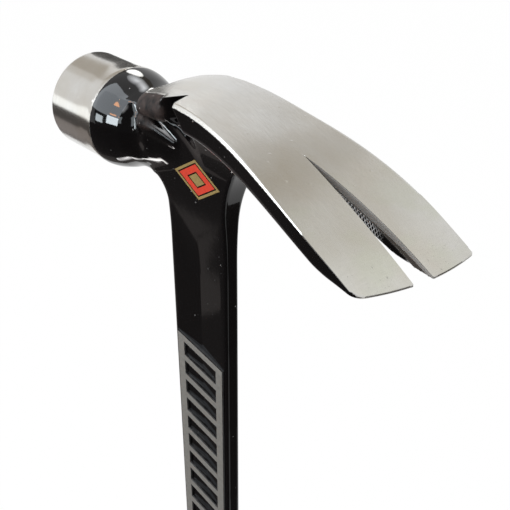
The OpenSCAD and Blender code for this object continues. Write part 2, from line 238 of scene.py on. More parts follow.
def shankHalf(h):
    t = (h - shank["gripTop"]) / (shank["pollFilletStart"] - shank["gripTop"])
    return shank["gripHalf"] + (shank["topHalf"] - shank["gripHalf"]) * np.clip(t, 0.0, 1.0)


def filletReach(r, rise):
    rise = np.clip(rise, 0.0, r * 0.995)
    return r - np.sqrt(r * r - rise * rise)


def filletLean(r, rise):                                   # turns a sideways gap into a true distance
    share = np.clip(rise / r, 0.0, 0.95)
    return np.sqrt(1.0 - share * share)


def sideHalf(x, h):                                        # the shank's flutes or the sloping cheek
    v = np.clip(np.abs(x) / shankHalf(h) / shank["fluteEdge"], 0.0, 1.0)
    flute = shank["flute"] + (shank["flange"] - shank["flute"]) * v
    cheek = shank["flange"] + shank["cheekSlope"] * (h - shank["cheekStart"])
    start = shank["flareStart"] + shank["flareShift"] * ease((shank["flareX"] - x) / shank["flareRun"])
    cheek = cheek + np.maximum(h - start, 0.0) ** 2 / (2.0 * shank["flareRound"])
    return -softMin(-flute, -cheek, shank["creaseRound"])


def shankField(x, y, h):
    def edge(side, fillet):                                # outside of the rear or the front edge
        rise = h - shank[fillet + "Start"]
        return (side * x - shankHalf(h) - filletReach(shank[fillet], rise)) * filletLean(shank[fillet], rise)

    ends = np.maximum(edge(-1.0, "pollFillet"), edge(1.0, "clawFillet"))
    d = roundMax(np.abs(y) - sideHalf(x, h), ends, shank["edgeRound"])
    cover = np.minimum(shank["cheekTop"], topLine(x) - shank["cheekCover"] * plateThick(x))
    return np.maximum(np.maximum(d, h - cover), shank["tangEnd"] - h)


def ribField(x, y, h):                                     # thin rib from the neck down to the near cheek
    start, end = (np.array(head[k]) for k in ("ribFrom", "ribTo"))
    run = end - start
    dx, dy, dh = x - start[0], y - start[1], h - start[2]
    t = np.clip((dx * run[0] + dy * run[1] + dh * run[2]) / (run @ run), 0.0, 1.0)
    gap = np.sqrt((dx - t * run[0]) ** 2 + (dy - t * run[1]) ** 2 + (dh - t * run[2]) ** 2)
    thick, thin = head["ribRound"]
    return gap - thick - (thin - thick) * t


def forgingField(x, y, h):
    blend = head["neckBlend"] * (0.5 + 0.5 * ease((h + 12.0) / 10.0))
    body = softMin(neckField(x, y, h), shankField(x, y, h), blend)
    body = softMin(body, ribField(x, y, h), head["ribBlend"])
    return softMin(body, plateField(x, y, h), head["plateBlend"])


def bareSteel(x, y, h):                                    # mm into the ground steel, negative on the paint
    depth = -topFace(x, y, h)
    bevel = edgeBevel(x) * (1.0 - rearShare(x, y)) + 0.06 * rearShare(x, y)
    top = np.minimum(bevel + 0.12 - depth, -notchFace(x, y, h) - 0.2)
    band = np.minimum(head["slotBand"] - depth, 0.6 - np.abs(slotFace(x, y, h)))
    band = np.where(depth > 0.1, band, -1.0)
    tips = 0.7 + tipFace(x, y)
    poll = head["faceX"] + head["bandLength"] - x
    claw = np.maximum(np.maximum(top, band), tips)
    return np.maximum(np.where(x > head["rearX"], claw, -1.0), poll)


def forgingGrid():                                         # grid lines follow the claw, its slot and fall
    xs = gridLines((-60.0, 0.4), (-56.0, 0.8), (-38.0, 0.4), (-34.0, 0.5), (46.0, 0.6), (84.0, 0.35), 92.0)
    half = gridLines((0.2, 0.4), (6.2, 0.6), (11.45, 0.3), 15.35)
    ys = np.concatenate([-half[::-1], half])
    hs = gridLines((-374.6, 4.0), (-192.0, 1.6), (-60.0, 1.0), (-40.0, 0.5), (10.05, 0.4),
                   (17.55, 0.3), 20.55)
    slotRow = 2.0                                          # row of cells along the slot's edges
    across = ys[None, :] / head["crownHalf"]
    gx = xs[:, None] - head["tipSetBack"] * ease((xs[:, None] - 60.0) / 30.5) * across ** 2
    widen = np.where(gx > head["crownX"], halfWidth(gx) / head["crownHalf"], 1.0)
    widen = widen + 0.1 * ease((-20.0 - gx) / 12.0)
    toSlot = ease((gx - head["slotStart"]) / 12.0 + 1.0)
    near = slotRow * widen + (np.maximum(slotEdge(gx), 0.4) - slotRow * widen) * toSlot
    row = np.abs(ys[None, :])
    outer = near + (head["crownHalf"] * widen - near) * (row - slotRow) / (head["crownHalf"] - slotRow)
    gy = np.sign(ys[None, :]) * np.where(row < slotRow, near * row / slotRow, outer)
    gz = topLine(np.maximum(gx, head["rearX"])) - head["rise"] - camber(np.maximum(gx, 0.0), gy)
    return gx, gy, gz, hs


def surfaceNet(field, gx, gy, gz, hs):                     # quads on the zero surface of a field
    nx, ny = gx.shape
    nh = len(hs)
    vol = np.empty((nx, ny, nh), dtype=np.float32)
    slab = 12
    for i in range(0, nx, slab):
        x, y, z = (g[i:i + slab, :, None] for g in (gx, gy, gz))
        vol[i:i + slab] = field(x, y, hs[None, None, :] + z)
    inside = vol < 0.0
    corners = [(a, b, c) for a in (0, 1) for b in (0, 1) for c in (0, 1)]
    count = np.zeros((nx - 1, ny - 1, nh - 1), dtype=np.uint8)
    for a, b, c in corners:
        count += inside[a:nx - 1 + a, b:ny - 1 + b, c:nh - 1 + c]
    cells = np.argwhere((count > 0) & (count < 8))
    index = np.full(count.shape, -1, dtype=np.int32)
    index[tuple(cells.T)] = np.arange(len(cells))

    def place(i, j, k):
        return np.stack([gx[i, j], gy[i, j], hs[k] + gz[i, j]], axis=-1)

    total = np.zeros((len(cells), 3))
    hits = np.zeros(len(cells))
    for corner in corners:
        for axis in range(3):
            if corner[axis] == 1:
                continue
            p = cells + corner
            q = p.copy()
            q[:, axis] += 1
            fp, fq = vol[tuple(p.T)], vol[tuple(q.T)]
            cross = (fp < 0.0) != (fq < 0.0)
            t = np.where(cross, fp / np.where(cross, fp - fq, 1.0), 0.0)[:, None]
            total += np.where(cross[:, None], place(*p.T) * (1.0 - t) + place(*q.T) * t, 0.0)
            hits += cross
    faces = []
    for axis in range(3):
        low = [slice(1, n - 1) for n in (nx, ny, nh)]
        high = list(low)
        low[axis], high[axis] = slice(0, -1), slice(1, None)
        a, b = inside[tuple(low)], inside[tuple(high)]
        shift = np.array([1, 1, 1])
        shift[axis] = 0
        u, v = (axis + 1) % 3, (axis + 2) % 3
        for outward in (True, False):
            spots = np.argwhere((a != b) & (a == outward)) + shift
            ring = []
            for du, dv in ((-1, -1), (0, -1), (0, 0), (-1, 0)):
                s = spots.copy()
                s[:, u] += du
                s[:, v] += dv
                ring.append(index[tuple(s.T)])
            faces.append(np.stack(ring if outward else ring[::-1], axis=-1))
    return total / hits[:, None], np.concatenate(faces)


def settle(field, points, rounds=4, reach=0.3, e=0.02):    # moves each point onto the surface
    p = points.copy()
    for _ in range(rounds):
        x, y, h = p.T
        d = field(x, y, h)
        g = np.stack([field(x + e, y, h) - field(x - e, y, h), field(x, y + e, h) - field(x, y - e, h),
                      field(x, y, h + e) - field(x, y, h - e)], axis=-1) / (2.0 * e)
        move = d[:, None] * g / np.maximum((g * g).sum(1), 0.2)[:, None]
        size = np.linalg.norm(move, axis=1, keepdims=True)
        p -= move * np.minimum(1.0, reach / np.maximum(size, 1e-9))
    return p


def sharpen(points, faceA, faceB, near=0.3, rounds=5, e=0.01):   # pulls the points by an edge onto it
    def value(p):
        return np.stack([faceA(*p.T), faceB(*p.T)], axis=-1)

    def slopes(p):
        steps = np.eye(3) * e
        return np.stack([value(p + step) - value(p - step) for step in steps], axis=-1) / (2.0 * e)

    spots = np.abs(value(points)).max(axis=1) < near
    p = points[spots]
    for _ in range(rounds):
        grad = slopes(p)
        p = p - (np.linalg.pinv(grad) @ value(p)[:, :, None])[:, :, 0]
    moved = points.copy()
    moved[spots] = p
    return moved


def joinPoints(mesh, gap):                                 # joins points that fell together, faces outwards
    bm = bmesh.new()
    bm.from_mesh(mesh)
    bmesh.ops.remove_doubles(bm, verts=list(bm.verts), dist=gap)
    bmesh.ops.dissolve_degenerate(bm, dist=gap, edges=list(bm.edges))
    bmesh.ops.recalc_face_normals(bm, faces=list(bm.faces))
    bm.to_mesh(mesh)
    bm.free()


def ringFaces(rows, n, closed=False):                      # quads between rows of n points each
    faces = []
    for j in range(rows if closed else rows - 1):
        k = (j + 1) % rows
        for i in range(n):
            m = (i + 1) % n
            faces.append((j * n + i, j * n + m, k * n + m, k * n + i))
    return faces


def newPiece(name, points, faces, material, smooth=True, sharpAngle=None, gap=None):
    mesh = bpy.data.meshes.new(name)
    mesh.from_pydata(np.asarray(points).tolist(), [], faces)
    if gap:
        joinPoints(mesh, gap)
    mesh.polygons.foreach_set("use_smooth", [smooth] * len(mesh.polygons))
    if sharpAngle:
        mesh.set_sharp_from_angle(angle=math.radians(sharpAngle))
    mesh.update()
    piece = bpy.data.objects.new(name, mesh)
    scene.collection.objects.link(piece)
    mesh.materials.append(material)
    return piece


def addValue(piece, name, values):                         # a number on each point, read by the material
    layer = piece.data.attributes.new(name, "FLOAT", "POINT")
    layer.data.foreach_set("value", np.asarray(values, dtype=np.float32))


# node shorthand for the finishes
def finish(name):
    mat = bpy.data.materials.new(name)
    mat.use_nodes = True
    nodes, links = mat.node_tree.nodes, mat.node_tree.links
    shader = nodes["Principled BSDF"]

    def node(kind, inputs=None, **settings):
        n = nodes.new(kind)
        for key, value in settings.items():
            setattr(n, key, value)
        for key, value in (inputs or {}).items():
            if isinstance(value, bpy.types.NodeSocket):
                links.new(value, n.inputs[key])
            else:
                n.inputs[key].default_value = value
        return n

    def math2(operation, a, b=0.0, clamp=False):
        return node("ShaderNodeMath", {0: a, 1: b}, operation=operation, use_clamp=clamp).outputs[0]

    def noise(vector, scale, detail=2.0, rough=0.5):
        return node("ShaderNodeTexNoise", {"Vector": vector, "Scale": scale, "Detail": detail,
                                           "Roughness": rough}).outputs["Fac"]

    def spread(vector, scale):                             # stretches the texture space per axis
        return node("ShaderNodeVectorMath", {0: vector, 1: scale}, operation="MULTIPLY").outputs[0]

    def remap(value, low, high, toLow=0.0, toHigh=1.0):
        return node("ShaderNodeMapRange", {"Value": value, "From Min": low, "From Max": high,
                                           "To Min": toLow, "To Max": toHigh}).outputs["Result"]

    def mix(fac, a, b, kind="RGBA"):
        first, second, out = {"RGBA": (6, 7, 2), "FLOAT": (2, 3, 0)}[kind]
        return node("ShaderNodeMix", {0: fac, first: a, second: b}, data_type=kind).outputs[out]

    place = node("ShaderNodeTexCoord").outputs["Object"]
    return mat, shader, links, node, math2, noise, spread, remap, mix, place


paint = {
    "colour": (0.0013, 0.0011, 0.0012, 1.0), "rough": 0.06, "specular": 0.35, "peel": 0.010,
    "speck": (0.30, 0.29, 0.28, 1.0), "speckShare": 0.6, "speckRough": 0.4, "speckRise": 0.05,
    # nub: brown on the knob behind the notch is a painted reflection of a brownish surrounding; the knob's
    # paint is also rougher, less shiny and bumpier
    "nub": (0.030, 0.020, 0.017, 1.0), "nubRough": 0.5, "nubSpecular": 0.14, "nubRise": 0.12,
}
steel = {
    "colour": (0.62, 0.615, 0.60, 1.0), "warm": (0.555, 0.53, 0.485, 1.0), "rough": 0.24, "pollRough": 0.16,
    "line": (0.40, 0.39, 0.37, 1.0), "lineShare": 0.22, "lineRise": 0.0030, "lineRough": 0.16,
    "pit": (0.22, 0.20, 0.18, 1.0), "pitShare": 0.14, "pitDepth": 0.008, "blobRise": 0.03,
    "tipTint": (0.56, 0.57, 0.50, 1.0), "tipTintShare": 0.6, "grainTurn": 7.0, "crossShare": 0.45,
    "sheared": (0.165, 0.155, 0.142, 1.0), "rasp": (0.42, 0.41, 0.40, 1.0), "raspLines": 6000.0,
    "slotRough": 0.5, "pollEnd": -0.03, "tips": (0.062, 0.085),
}


def forgedFinish():                                        # gloss black paint, ground steel where it is bare
    mat, shader, links, node, math2, noise, spread, remap, mix, place = finish("painted and ground steel")

    def value(name):
        return node("ShaderNodeAttribute", attribute_name=name).outputs["Fac"]

    def times(a, b):
        return math2("MULTIPLY", a, b)

    def plus(a, b):
        return math2("ADD", a, b)

    def streaks(vector, scale, detail=2.0):
        return noise(spread(vector, scale), 1.0, detail)

    def cells(scale, low, high, cover, share):             # sparse round spots
        spots = node("ShaderNodeTexVoronoi", {"Vector": place, "Scale": scale, "Randomness": 1.0})
        where = remap(noise(place, cover), share, share + 0.05)
        return times(remap(spots.outputs["Distance"], low, high, 1.0, 0.0), where)

    chips = times(math2("SUBTRACT", noise(place, 900.0, 3.0), 0.5), 0.5)
    mask = remap(plus(value("bare"), chips), -0.05, 0.05)
    x = node("ShaderNodeSeparateXYZ", {0: place}).outputs[0]
    isPoll = math2("LESS_THAN", x, steel["pollEnd"])
    isTip = remap(x, *steel["tips"])
    turn = math.radians(steel["grainTurn"])
    turned = node("ShaderNodeVectorRotate", {"Vector": place, "Angle": turn}, rotation_type="Z_AXIS")
    along = turned.outputs[0]
    grain = mix(0.5, streaks(along, (140.0, 1700.0, 900.0)),
                streaks(along, (300.0, 4600.0, 2000.0)), "FLOAT")
    rings = streaks(place, (5200.0, 260.0, 260.0))         # turning marks around the poll
    across = streaks(place, (2600.0, 240.0, 500.0), 3.0)   # cross marks at the tips
    lines = mix(times(isTip, steel["crossShare"]), mix(isPoll, grain, rings, "FLOAT"), across, "FLOAT")
    blotch = streaks(place, (45.0, 60.0, 45.0), 3.0)
    # greenish patches towards the tips, mixed over the steel colour
    tipTints = times(remap(streaks(place, (120.0, 60.0, 60.0), 3.0), 0.48, 0.62), remap(x, 0.045, 0.075))
    pits = cells(420.0, 0.04, 0.12, 130.0, 0.66)
    blobs = times(cells(300.0, 0.06, 0.16, 80.0, 0.52), math2("LESS_THAN", x, steel["tips"][0]))
    steelColour = mix(remap(blotch, 0.35, 0.68), steel["colour"], steel["warm"])
    for name, share in (("tipTint", tipTints), ("line", remap(lines, 0.35, 0.65)), ("pit", pits)):
        steelColour = mix(times(share, steel[name + "Share"]), steelColour, steel[name])
    inSlot, slotDepth = value("inSlot"), value("slotDepth")  # depth 1 is the lower edge of the sheared band
    hatch = [math2("SINE", plus(times(x, steel["raspLines"]), times(slotDepth, slant)))
             for slant in (9.0, -7.0)]
    sheared = times(inSlot, remap(plus(slotDepth, times(chips, 0.5)), 1.03, 0.98))
    rasp = times(remap(math2("MAXIMUM", *hatch), 0.55, 0.85), remap(slotDepth, 1.08, 1.12))
    rasp = times(rasp, times(remap(x, 0.053, 0.057), remap(x, 0.073, 0.069)))
    rasped = times(rasp, math2("SUBTRACT", inSlot, sheared, clamp=True))
    dust = cells(400.0, 0.05, 0.10, 95.0, 0.51)
    nub = value("nub")
    # painted reflection: the knob's brown stands for a brownish surrounding seen in its paint, mottled by
    # noise
    nubPaintedReflection = times(nub, remap(noise(place, 420.0, 3.0), 0.3, 0.7))
    paintColour = mix(nubPaintedReflection, paint["colour"], paint["nub"])
    paintColour = mix(times(dust, paint["speckShare"]), paintColour, paint["speck"])
    colour = mix(rasped, mix(mask, paintColour, steelColour), steel["rasp"])
    links.new(mix(sheared, colour, steel["sheared"]), shader.inputs["Base Color"])
    links.new(times(mask, math2("SUBTRACT", 1.0, sheared)), shader.inputs["Metallic"])
    steelRough = plus(mix(isPoll, steel["rough"], steel["pollRough"], "FLOAT"),
                      times(math2("SUBTRACT", lines, 0.5), steel["lineRough"]))
    paintRough = plus(mix(nub, paint["rough"], paint["nubRough"], "FLOAT"), times(dust, paint["speckRough"]))
    rough = mix(mask, paintRough, steelRough, "FLOAT")
    rough = mix(math2("MAXIMUM", sheared, rasped), rough, steel["slotRough"], "FLOAT")
    links.new(rough, shader.inputs["Roughness"])
    specular = mix(nub, paint["specular"], paint["nubSpecular"], "FLOAT")
    links.new(specular, shader.inputs["Specular IOR Level"])
    peel = plus(times(noise(place, 240.0, 2.0), paint["peel"]),          # heights in mm
                times(times(noise(place, 520.0, 3.0), nub), paint["nubRise"]))
    scratch = math2("SUBTRACT", times(lines, steel["lineRise"]), times(pits, steel["pitDepth"]))
    scratch = plus(scratch, times(blobs, steel["blobRise"]))
    height = mix(mask, plus(peel, times(dust, paint["speckRise"])), scratch, "FLOAT")
    bump = node("ShaderNodeBump", {"Strength": 1.0, "Distance": mm, "Height": height})
    links.new(bump.outputs[0], shader.inputs["Normal"])
    return mat


marks = {                                                  # where edges get sharp and the finish changes
    "slotEnds": (0.3, 0.4), "edgeBevel": 0.15, "edgeEnd": 4.5, "notchRim": (0.4, 1.3), "gap": 0.01,
    "nubX": 0.5, "nubY": 6.5, "nubH": 3.5, "nubRear": 2.0, "slotReach": 0.9,
    "shearedDepth": 2.2, "shearedLoss": 1.0, "shearedStart": 66.0, "shearedRun": 22.0,
}


def makeForging():
    points, faces = surfaceNet(forgingField, *forgingGrid())
    points = settle(forgingField, points)
    root, tip = marks["slotEnds"]
    slotZone = (points[:, 0] > head["slotStart"] + root) & (points[:, 0] < head["tipX"] - tip)
    points[slotZone] = sharpen(points[slotZone], topFace, slotFace)
    edgeZone = points[:, 0] < head["tipX"] - marks["edgeEnd"]
    edgeZone &= edgeBevel(points[:, 0]) < marks["edgeBevel"]
    points[edgeZone] = sharpen(points[edgeZone], topFace, lambda x, y, h: outlineFace(x, y))
    inner, outer = marks["notchRim"]
    notchZone = (points[:, 1] < head["notchY"] - inner) & (outlineFace(*points[:, :2].T) < -outer)
    points[notchZone] = sharpen(points[notchZone], topFace, notchFace)
    piece = newPiece("hammerForging", (points + (0.0, 0.0, pollAxis)) * mm, faces.tolist(), forgedFinish(),
                     sharpAngle=50, gap=marks["gap"] * mm)
    places = np.empty(len(piece.data.vertices) * 3)
    piece.data.vertices.foreach_get("co", places)
    x, y, h = (places.reshape(-1, 3) / mm - (0.0, 0.0, pollAxis)).T
    depth = -topFace(x, y, h)
    inSlot = ease((marks["slotReach"] - np.abs(slotFace(x, y, h))) / 0.3) * ease((depth - 0.02) / 0.06)
    # mask of the knob behind the notch, which gets the brown painted reflection and rougher paint
    nub = ease((marks["nubX"] - x) / 3.0) * ease((-y - marks["nubY"]) / 2.5)
    nub = nub * ease((h - marks["nubH"]) / 3.0)
    nub = nub * ease((x - head["rearX"] + marks["nubRear"]) / marks["nubRear"])
    loss = marks["shearedLoss"] * ease((x - marks["shearedStart"]) / marks["shearedRun"])
    addValue(piece, "bare", bareSteel(x, y, h))
    addValue(piece, "inSlot", inSlot * (x > head["slotStart"] - 1.0))
    addValue(piece, "slotDepth", depth / (marks["shearedDepth"] - loss))
    addValue(piece, "nub", nub)
    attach(piece, "root")
    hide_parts("hammer_forging")
    print("forging:", len(piece.data.vertices), "points,", len(piece.data.polygons), "faces")


makeForging()


# raised panel on both sides of the shank: a frame with slanted bars
panel = {
    "drop": 64.5, "length": 112.0, "halfShare": 0.88, "border": 3.8, "barWidth": 2.8, "pitch": 7.0,
    "slant": 4.8, "rise": 0.5, "root": 1.6, "edge": 0.32, "sharpAngle": 35,
    "top": (0.115, 0.106, 0.094, 1.0), "worn": (0.085, 0.078, 0.068, 1.0),
    "side": (0.012, 0.011, 0.011, 1.0),
}


def panelPaint():
    mat, shader, links, node, math2, noise, spread, remap, mix, place = finish("grey panel paint")
    worn = remap(noise(place, 700.0, 4.0, 0.6), 0.35, 0.75)
    links.new(mix(worn, panel["top"], panel["worn"]), shader.inputs["Base Color"])
    links.new(remap(worn, 0.0, 1.0, 0.42, 0.58), shader.inputs["Roughness"])
    bump = node("ShaderNodeBump", {"Strength": 0.6, "Distance": mm,
                                   "Height": math2("MULTIPLY", noise(place, 1500.0, 2.0), 0.03)})
    links.new(bump.outputs[0], shader.inputs["Normal"])
    return mat


def panelSides():
    mat, shader, links, node, math2, noise, spread, remap, mix, place = finish("black panel edges")
    shade = remap(noise(place, 500.0, 3.0), 0.3, 0.7)
    links.new(mix(shade, paint["colour"], panel["side"]), shader.inputs["Base Color"])
    links.new(remap(shade, 0.0, 1.0, 0.12, 0.2), shader.inputs["Roughness"])
    shader.inputs["Specular IOR Level"].default_value = paint["specular"]
    return mat


def makePanel(name, side):
    topH = -panel["drop"]
    run = panel["length"] - panel["slant"] - panel["barWidth"]
    drops = [i * panel["pitch"] for i in range(int(run // panel["pitch"]) + 1)]
    drops.append(run)                                      # the last bar closes the frame

    def edgeX(s, h):
        return s * float(shankHalf(np.float64(h))) * panel["halfShare"]

    def barH(drop, t):                                     # a bar's upper edge, t from 0 to 1 across
        return topH - drop - panel["slant"] * t

    outY = -(shank["flange"] + panel["rise"])
    bm = bmesh.new()
    rows = []
    for drop in drops:                                     # each bar: upper and lower line of four corners
        for lower in (0.0, panel["barWidth"]):
            line = []
            for s, inner in ((-1, 0), (-1, 1), (1, 1), (1, 0)):
                h = barH(drop, 0.0 if s < 0 else 1.0) - lower
                x = edgeX(s, h) - s * inner * panel["border"]
                t = (x - edgeX(-1, h)) / (edgeX(1, h) - edgeX(-1, h))
                h = barH(drop, t) - lower
                line.append(bm.verts.new((side * x * mm, side * outY * mm, (h + pollAxis) * mm)))
            rows.append(line)
    for k in range(len(rows) - 1):
        a, b = rows[k], rows[k + 1]
        spans = (0, 1, 2) if k % 2 == 0 else (0, 2)
        for j in spans:
            bm.faces.new((a[j], b[j], b[j + 1], a[j + 1]))
    tops = list(bm.faces)
    grown = bmesh.ops.extrude_face_region(bm, geom=tops)
    raised = [g for g in grown["geom"] if isinstance(g, bmesh.types.BMFace)]
    raisedSet = set(raised)
    highVerts = {v for f in raised for v in f.verts}
    for v in bm.verts:
        if v not in highVerts:
            v.co.y += side * (panel["rise"] + panel["root"]) * mm
    bmesh.ops.recalc_face_normals(bm, faces=list(bm.faces))
    rim = [e for e in bm.edges if len(e.link_faces) == 2 and sum(f in raisedSet for f in e.link_faces) == 1]
    bmesh.ops.bevel(bm, geom=rim, offset=panel["edge"] * mm, segments=2, profile=0.6, affect="EDGES")
    mesh = bpy.data.meshes.new(name)
    bm.normal_update()
    level = side * outY * mm
    for f in bm.faces:
        f.material_index = 0 if all(abs(v.co.y - level) < 1e-6 for v in f.verts) else 1
        f.smooth = True
    bm.to_mesh(mesh)
    bm.free()
    mesh.set_sharp_from_angle(angle=math.radians(panel["sharpAngle"]))
    piece = bpy.data.objects.new(name, mesh)
    scene.collection.objects.link(piece)
    mesh.materials.append(panelPaint())
    mesh.materials.append(panelSides())
    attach(piece, "root")


makePanel("panelNear", 1)
makePanel("panelFar", -1)
print("panels made")


# decal on the near cheek: a gold lozenge with a red ring
decal = {
    "x": 3.0, "h": -7.5, "width": 22.0, "height": 13.0, "film": 0.12, "sink": 0.3, "steps": 10, "gap": 0.001,
    "bands": [(1.0, 0.86, 0), (0.78, 0.42, 1), (0.34, 0.005, 0)],        # outer, inner share; 0 gold, 1 red
    "gold": (0.175, 0.122, 0.042, 1.0), "goldDark": (0.13, 0.09, 0.03, 1.0),
    "red": (0.36, 0.026, 0.010, 1.0), "redDark": (0.30, 0.020, 0.009, 1.0), "specular": 0.25,
}


def filmFinish(name, colour, darker):
    mat, shader, links, node, math2, noise, spread, remap, mix, place = finish(name)
    tone = remap(noise(place, 1300.0, 3.0), 0.3, 0.75)
    links.new(mix(tone, colour, darker), shader.inputs["Base Color"])
    links.new(remap(tone, 0.0, 1.0, 0.28, 0.4), shader.inputs["Roughness"])
    shader.inputs["Specular IOR Level"].default_value = decal["specular"]
    bump = node("ShaderNodeBump", {"Strength": 0.4, "Distance": mm,
                                   "Height": math2("MULTIPLY", noise(place, 900.0), 0.01)})
    links.new(bump.outputs[0], shader.inputs["Normal"])
    return mat


def cheekSurface(x, h):                                    # y of the near cheek, by halving
    low, high = np.full(x.shape, -12.0), np.zeros(x.shape)
    for _ in range(40):
        mid = 0.5 * (low + high)
        out = forgingField(x, mid, h) > 0.0
        low, high = np.where(out, mid, low), np.where(out, high, mid)
    return 0.5 * (low + high)


def makeDecal():
    gold = filmFinish("gold print", decal["gold"], decal["goldDark"])
    red = filmFinish("red print", decal["red"], decal["redDark"])
    steps = decal["steps"]                                 # points along each side of the lozenge
    corner = [(-1, 0), (0, 1), (1, 0), (0, -1)]
    ring = []
    for k in range(4):
        a, b = corner[k], corner[(k + 1) % 4]
        for i in range(steps):
            t = i / steps
            ring.append((a[0] + (b[0] - a[0]) * t, a[1] + (b[1] - a[1]) * t))
    ring = np.array(ring) * (decal["width"] / 2, decal["height"] / 2)
    points, faces, tones = [], [], []
    n = len(ring)
    for outer, inner, tone in decal["bands"]:
        base = len(points)
        rows = [(outer, 0.0), (outer, 1.0), (inner, 1.0), (inner, 0.0)]
        for share, lift in rows:
            x = ring[:, 0] * share + decal["x"]
            h = ring[:, 1] * share + decal["h"]
            y = cheekSurface(x, h) - decal["film"] * (lift - decal["sink"])
            points.extend(zip(x * mm, y * mm, (h + pollAxis) * mm))
        band = ringFaces(len(rows), n, closed=True)
        faces += [tuple(base + i for i in f) for f in band]
        tones += [tone] * len(band)
    piece = newPiece("cheekDecal", points, faces, gold, smooth=False, gap=decal["gap"] * mm)
    piece.data.materials.append(red)
    piece.data.polygons.foreach_set("material_index", tones)
    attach(piece, "root")
    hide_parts("cheek_decal")
    print("decal made")


makeDecal()


# grip: hard core with butt cap and collar, soft sleeve between them
grip = {
    "width": 34.0, "thick": 25.0, "swell": 3.0, "flare": 9.0, "power": 2.5, "swellShare": 0.52,
    "buttShare": 0.2, "buttRound": 5.0, "buttInset": 1.2, "capHeight": 18.0, "lip": 0.7,
    "collar": 16.0, "collarWall": 2.4, "topWidth": 22.4, "topThick": 4.9, "rimInset": 0.35, "rimDrop": 0.5,
    "mouthDepth": 6.0, "mouthLip": 0.2, "sleeveWall": 3.0, "sleeveLap": 0.1, "sleeveRows": 360,
    "around": 168, "grooveDepth": 0.9, "groovePitch": 9.0, "grooveWidth": 3.6, "grooveMargin": 12.0,
    "gap": 0.001,
    "sleeve": (0.012, 0.012, 0.013, 1.0), "sleeveRough": 0.62, "sleeveGrain": 2600.0,
    "core": (0.007, 0.007, 0.0075, 1.0), "coreRough": 0.42, "coreGrain": 1900.0,
    "specular": 0.25, "lighter": 1.7, "roughSpread": 0.06,
}


def gripHalves(z):
    s = z / gripTop
    grow = grip["swell"] * (1.0 - ease(np.abs(s - grip["swellShare"]) / grip["buttShare"] / 2.0)) \
        + grip["flare"] * (1.0 - ease(s / grip["buttShare"]))
    collar = ease((z - gripTop + grip["collar"]) / grip["collar"])
    low = np.clip(grip["buttRound"] - z, 0.0, grip["buttRound"])
    inset = grip["buttRound"] - np.sqrt(grip["buttRound"] ** 2 - low ** 2)
    halves = []
    for size, top in ((grip["width"], grip["topWidth"]), (grip["thick"], grip["topThick"])):
        side = (size + grow) / 2.0
        halves.append(side + (top / 2.0 + grip["collarWall"] - side) * collar - inset)
    return halves


def ovalRing(z, inset, angles):
    a, b = gripHalves(z)
    a, b = a - inset, b - inset
    c, s = np.cos(angles), np.sin(angles)
    p = 2.0 / grip["power"]
    return np.stack([a * np.sign(c) * np.abs(c) ** p, b * np.sign(s) * np.abs(s) ** p,
                     np.broadcast_to(z, np.shape(a * c))], axis=-1)


def mouldedFinish(name, colour, rough, texture):
    mat, shader, links, node, math2, noise, spread, remap, mix, place = finish(name)
    tone = remap(noise(place, 160.0, 4.0), 0.3, 0.75)
    lighter = tuple(c * grip["lighter"] for c in colour[:3]) + (1.0,)
    links.new(mix(tone, colour, lighter), shader.inputs["Base Color"])
    roughs = rough - grip["roughSpread"], rough + grip["roughSpread"]
    links.new(remap(noise(place, 900.0, 3.0), 0.3, 0.7, *roughs), shader.inputs["Roughness"])
    shader.inputs["Specular IOR Level"].default_value = grip["specular"]
    bump = node("ShaderNodeBump", {"Strength": 0.5, "Distance": mm,
                                   "Height": math2("MULTIPLY", noise(place, texture, 2.0), 0.06)})
    links.new(bump.outputs[0], shader.inputs["Normal"])
    return mat


def makeSleeve():
    n = grip["around"]
    angles = np.arange(n) * 2.0 * math.pi / n
    z0, z1 = sleeveLow.z / mm, sleeveHigh.z / mm
    grooves = math.floor((z1 - z0 - 2.0 * grip["grooveMargin"]) / grip["groovePitch"])
    places = (z0 + z1) / 2.0 + (np.arange(grooves + 1) - grooves / 2.0) * grip["groovePitch"]
    rows = []
    for z in np.linspace(z0, z1, grip["sleeveRows"]):
        ring = ovalRing(np.float64(z), 0.0, angles)
        ends = min(z - z0, z1 - z)
        lip = grip["lip"] - math.sqrt(max(grip["lip"] ** 2 - max(grip["lip"] - ends, 0.0) ** 2, 0.0))
        half = grip["grooveWidth"] / 2.0
        cut = grip["grooveDepth"] * ease((half - np.abs(places - z).min()) / half * 2.0)
        ring[:, :2] *= (1.0 - (lip + cut) / np.hypot(ring[:, 0], ring[:, 1]))[:, None]
        rows.append(ring)
    for z in (z1, z0):
        rows.append(ovalRing(np.float64(z), grip["sleeveWall"] - grip["sleeveLap"], angles))
    points = np.concatenate(rows) * mm
    rubber = mouldedFinish("matt black rubber", grip["sleeve"], grip["sleeveRough"], grip["sleeveGrain"])
    piece = newPiece("gripSleeve", points, ringFaces(len(rows), n, closed=True), rubber, sharpAngle=60)
    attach(piece, "root")
    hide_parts("grip_sleeve")


